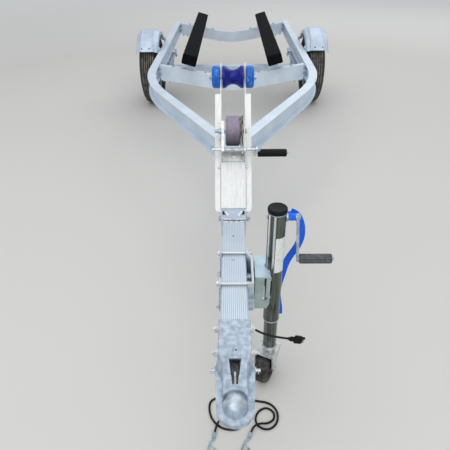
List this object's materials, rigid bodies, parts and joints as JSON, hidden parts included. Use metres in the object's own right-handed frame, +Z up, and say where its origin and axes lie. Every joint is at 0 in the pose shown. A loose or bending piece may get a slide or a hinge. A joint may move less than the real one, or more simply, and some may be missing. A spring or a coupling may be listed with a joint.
{
  "type": "boat trailer",
  "caption": "Single-axle aluminium boat trailer with bent rails, carpeted bunks, leaning winch stand with bow roller, swing-up tongue jack with caster and a ball coupler",
  "frame": {"origin": "on the ground, in the centre plane, half way along", "axes": "+X towards the jack's side; left and right in names are as seen from the front; +Y rearwards; +Z up; the coupler's nose points -Y"},
  "size_m": [1.584, 4.7325, 0.9181],
  "materials": {
    "bare_aluminium": "mill finish extrusion, lightly weathered",
    "galvanised_steel": "hot-dip galvanised, matte grey",
    "zinc_plate": "bright zinc plate",
    "black_paint": "black gloss paint",
    "grey_carpet": "short grey carpet",
    "tyre_rubber": "black tyre rubber",
    "blue_roller": "blue moulded rubber",
    "grey_webbing": "grey woven strap",
    "blue_webbing": "blue woven strap",
    "black_plastic": "black moulded plastic",
    "grey_plastic": "grey moulded plastic",
    "black_coat": "black plastic coating",
    "red_lens": "red lamp lens"
  },
  "bodies": {
    "frame": {"tongue_tube": "bare_aluminium", "tongue_tie_plate": "bare_aluminium", "rail_left": "bare_aluminium", "rail_right": "bare_aluminium", "crossmember_mid": "bare_aluminium", "crossmember_rear": "bare_aluminium", "frame_clips": "bare_aluminium", "frame_pads": "bare_aluminium", "axle_beam": "galvanised_steel", "leaf_springs": "galvanised_steel", "spring_hangers": "galvanised_steel", "spring_clamps": "galvanised_steel", "fender_left": "galvanised_steel", "fender_right": "galvanised_steel", "fender_brackets": "galvanised_steel", "bunk_left": "grey_carpet", "bunk_right": "grey_carpet", "bunk_brackets": "bare_aluminium", "stand_saddle": "galvanised_steel", "stand_legs": "galvanised_steel", "stand_panel": "galvanised_steel", "bow_shaft": "zinc_plate", "winch_frame": "zinc_plate", "jack_clamp": "zinc_plate", "coupler": "zinc_plate", "coupler_latch": "galvanised_steel", "coupler_bolts": "zinc_plate", "cable_eye": "zinc_plate", "cable_left": "black_coat", "cable_right": "black_coat", "hook_left": "zinc_plate", "hook_right": "zinc_plate", "lead_grommet": "black_plastic", "wiring_lead": "black_coat", "wiring_plug": "black_plastic", "tail_lamps": "red_lens"},
    "wheel_left": {"hub_left": "black_paint", "rim_left": "galvanised_steel", "tyre_left": "tyre_rubber"},
    "wheel_right": {"hub_right": "black_paint", "rim_right": "galvanised_steel", "tyre_right": "tyre_rubber"},
    "jack": {"jack_body": "zinc_plate", "jack_cap": "black_plastic", "jack_crank": "zinc_plate", "jack_grip": "grey_plastic", "tie_strap": "blue_webbing"},
    "jack_inner": {"jack_leg": "zinc_plate"},
    "caster": {"caster_fork": "zinc_plate"},
    "caster_roll": {"caster_wheel": "black_plastic"},
    "winch_spool": {"winch_drum": "zinc_plate", "winch_gear": "zinc_plate", "winch_strap": "grey_webbing"},
    "winch_handle": {"winch_crank": "zinc_plate", "winch_grip": "black_plastic"},
    "bow_stop": {"bow_spool": "blue_roller", "bow_end_rollers": "blue_roller"}
  },
  "joints": [
    {"name": "wheel_left_spin", "type": "hinge", "parent": "frame", "child": "wheel_left", "pos_m": [-0.7, 1.1775, 0.286], "axis": [1, 0, 0], "continuous": true},
    {"name": "wheel_right_spin", "type": "hinge", "parent": "frame", "child": "wheel_right", "pos_m": [0.7, 1.1775, 0.286], "axis": [1, 0, 0], "continuous": true},
    {"name": "jack_swing", "type": "hinge", "parent": "frame", "child": "jack", "pos_m": [0.0623, -1.8525, 0.435], "axis": [1, 0, 0], "range_deg": [0, 90]},
    {"name": "jack_slide", "type": "slide", "parent": "jack", "child": "jack_inner", "axis": [0, 0, -1], "range_m": [-0.09, 0.164]},
    {"name": "caster_swivel", "type": "hinge", "parent": "jack_inner", "child": "caster", "pos_m": [0.122, -1.8525, 0.132], "axis": [0, 0, 1], "continuous": true},
    {"name": "caster_wheel_spin", "type": "hinge", "parent": "caster", "child": "caster_roll", "pos_m": [0.10848, -1.8815, 0.06], "axis": [0.9063, -0.4226, 0], "continuous": true},
    {"name": "winch_drum_spin", "type": "hinge", "parent": "frame", "child": "winch_spool", "pos_m": [0, -1.40736, 0.73418], "axis": [1, 0, 0], "continuous": true},
    {"name": "winch_crank_spin", "type": "hinge", "parent": "frame", "child": "winch_handle", "pos_m": [0, -1.44799, 0.68217], "axis": [1, 0, 0], "continuous": true},
    {"name": "bow_roller_spin", "type": "hinge", "parent": "frame", "child": "bow_stop", "pos_m": [0, -1.2231, 0.87258], "axis": [1, 0, 0], "continuous": true}
  ],
  "couplings": [
    {"joint": "winch_crank_spin", "follows": "winch_drum_spin", "ratio": -3.8889}
  ]
}
